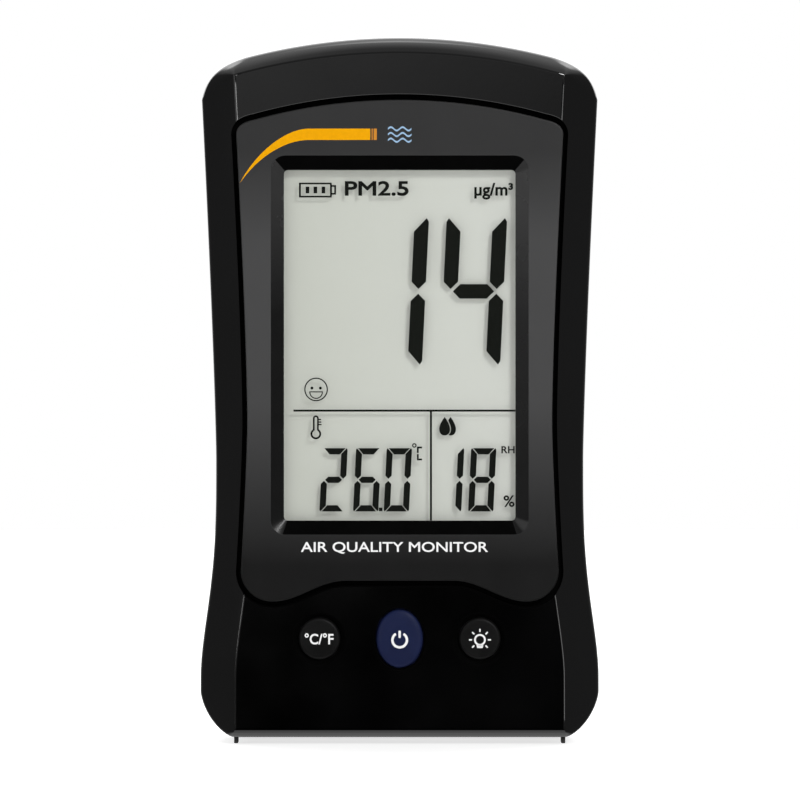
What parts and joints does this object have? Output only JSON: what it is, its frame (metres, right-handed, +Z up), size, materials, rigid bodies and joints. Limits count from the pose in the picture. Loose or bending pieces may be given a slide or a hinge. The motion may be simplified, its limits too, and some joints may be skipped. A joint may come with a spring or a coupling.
{
  "type": "air quality monitor",
  "caption": "Hand-held air quality monitor: waisted black case, large segment display, press buttons, rear air grille and a fold-out stand.",
  "frame": {"origin": "middle of the footprint, on the surface that the four feet stand on", "axes": "+Z up through the upright case, -Y out of the display towards the reader, +X to the reader's right"},
  "size_m": [0.0884, 0.035, 0.1564],
  "materials": {
    "case_front": "polished black, sloping facets",
    "case_back": "fine moulded texture, black",
    "panel": "satin dark grey",
    "window": "clear acrylic",
    "lcd": "pale grey-green reflective LCD",
    "diffuser": "milky light guide",
    "pale_plastic": "off-white moulding",
    "foam": "closed-cell foam or elastomer",
    "screen": "woven dust screen",
    "button_grey": "satin charcoal",
    "button_blue": "satin dark blue",
    "black_plastic": "black moulding",
    "red_plastic": "red wire insulation",
    "board": "green solder mask",
    "steel": "plated steel",
    "brass": "laser can",
    "battery": "laminated pouch foil",
    "sensor_blue": "blue sensor housing",
    "rubber": "soft black rubber"
  },
  "bodies": {
    "case": {"front_cover": "case_front", "rear_cover": "case_back", "foot_front_left": "rubber", "foot_front_right": "rubber", "foot_rear_left": "rubber", "foot_rear_right": "rubber", "case_screw_1": "steel", "case_screw_2": "steel", "case_screw_3": "steel", "case_screw_4": "steel", "display_bezel": "panel", "display_window": "window", "lcd_glass": "lcd", "lcd_backlight": "diffuser", "lcd_contact_strip": "foam", "lcd_frame": "pale_plastic", "unit_switch": "steel", "power_switch": "steel", "light_switch": "steel", "main_board": "board", "main_chip": "black_plastic", "climate_sensor": "pale_plastic", "buzzer": "black_plastic", "battery_socket": "pale_plastic", "board_screw_1": "steel", "board_screw_2": "steel", "board_screw_3": "steel", "board_screw_4": "steel", "charging_port": "steel", "charging_tongue": "black_plastic", "battery_cell": "battery", "battery_pad": "foam", "battery_lead_red": "red_plastic", "battery_lead_black": "black_plastic", "sensor_case": "sensor_blue", "sensor_lid": "sensor_blue", "sensor_board": "board", "laser_diode": "brass", "light_detector": "black_plastic", "fan_motor": "steel", "air_duct_gasket": "foam", "dust_screen": "screen", "stand_pin": "steel"},
    "unit_key": {"unit_button": "button_grey", "unit_switch_plunger": "black_plastic"},
    "power_key": {"power_button": "button_blue", "power_switch_plunger": "black_plastic"},
    "light_key": {"light_button": "button_grey", "light_switch_plunger": "black_plastic"},
    "stand": {"stand_leg": "case_back", "stand_pad": "rubber"},
    "fan": {"fan_rotor": "black_plastic"}
  },
  "joints": [
    {"name": "unit_press", "type": "slide", "parent": "case", "child": "unit_key", "axis": [0, 1, 0], "range_m": [0, 0.0006], "stiffness_N_per_m": 2500, "springref_m": -0.0002},
    {"name": "power_press", "type": "slide", "parent": "case", "child": "power_key", "axis": [0, 1, 0], "range_m": [0, 0.0006], "stiffness_N_per_m": 2500, "springref_m": -0.0002},
    {"name": "light_press", "type": "slide", "parent": "case", "child": "light_key", "axis": [0, 1, 0], "range_m": [0, 0.0006], "stiffness_N_per_m": 2500, "springref_m": -0.0002},
    {"name": "stand_hinge", "type": "hinge", "parent": "case", "child": "stand", "pos_m": [0, 0.0156, 0.0954], "axis": [1, 0, 0], "range_deg": [0, 40]},
    {"name": "fan_spin", "type": "hinge", "parent": "case", "child": "fan", "pos_m": [0.0115, 0.0017, 0.1204], "axis": [0, 1, 0], "continuous": true}
  ]
}
